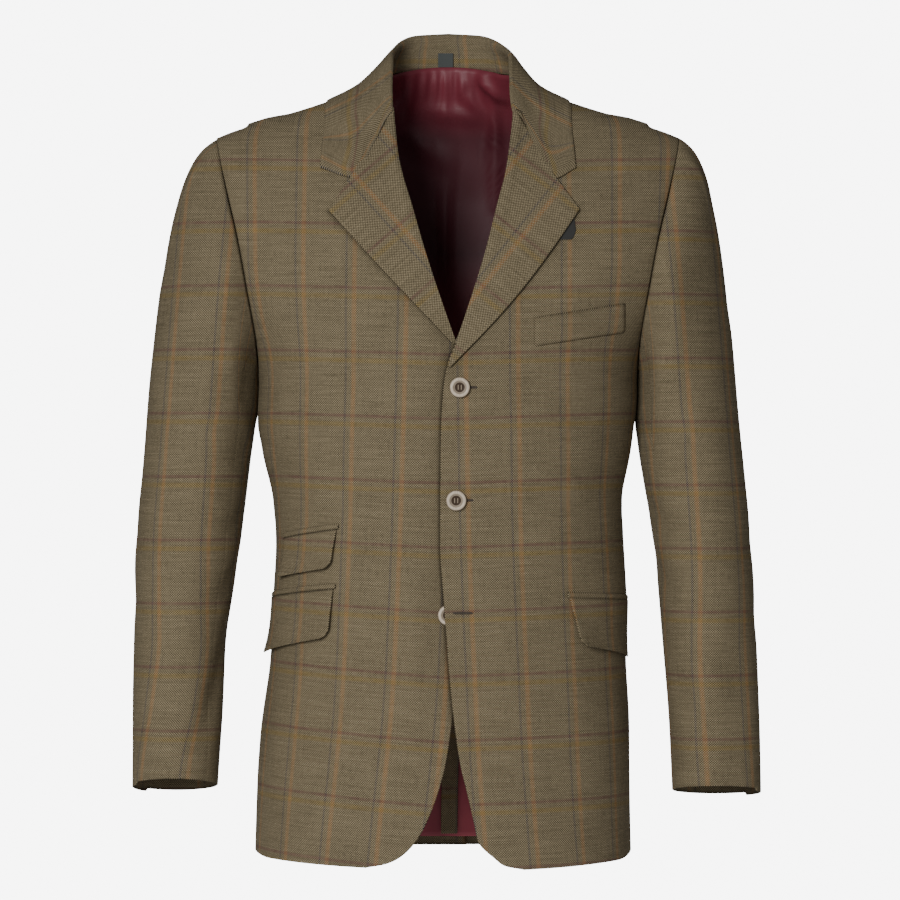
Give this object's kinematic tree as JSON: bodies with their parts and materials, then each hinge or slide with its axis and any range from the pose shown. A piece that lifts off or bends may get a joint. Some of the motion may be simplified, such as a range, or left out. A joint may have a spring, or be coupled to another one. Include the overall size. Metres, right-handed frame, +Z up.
{
  "type": "field sports jacket",
  "caption": "Single-breasted tweed field sports jacket with notch lapels, flapped pockets, action-pleated vented back and two-piece sleeves, filled out as worn.",
  "frame": {"origin": "where the wearer's shoulders carry the jacket: on the plane of the shoulder seams at the base of the neck, on the centre line", "axes": "+Z up along the body, +X to the wearer's left, -Y to the front"},
  "size_m": [0.6257, 0.274, 0.8268],
  "materials": {
    "tweed": "matt woollen tweed with a windowpane overcheck",
    "lining": "smooth burgundy lining with a soft sheen",
    "slate_trim": "dark slate woven trim",
    "horn": "pale polished horn"
  },
  "bodies": {
    "root": {"front_left": "tweed", "front_right": "tweed", "lapel_left": "tweed", "lapel_right": "tweed", "collar": "tweed", "back_left": "tweed", "back_right": "tweed", "back_side_left": "tweed", "back_side_right": "tweed", "sleeve_head_left": "tweed", "sleeve_head_right": "tweed", "sleeve_top_left": "tweed", "sleeve_top_right": "tweed", "sleeve_under_left": "tweed", "sleeve_under_right": "tweed", "hip_flap_left": "tweed", "hip_flap_right": "tweed", "hip_jet_left": "tweed", "hip_jet_right": "tweed", "ticket_flap": "tweed", "ticket_jet": "tweed", "breast_welt": "tweed", "vent_facing": "tweed", "lining_back": "lining", "neck_loop": "slate_trim", "lapel_tab": "slate_trim", "button_1": "horn", "button_2": "horn", "button_3": "horn"}
  },
  "joints": []
}
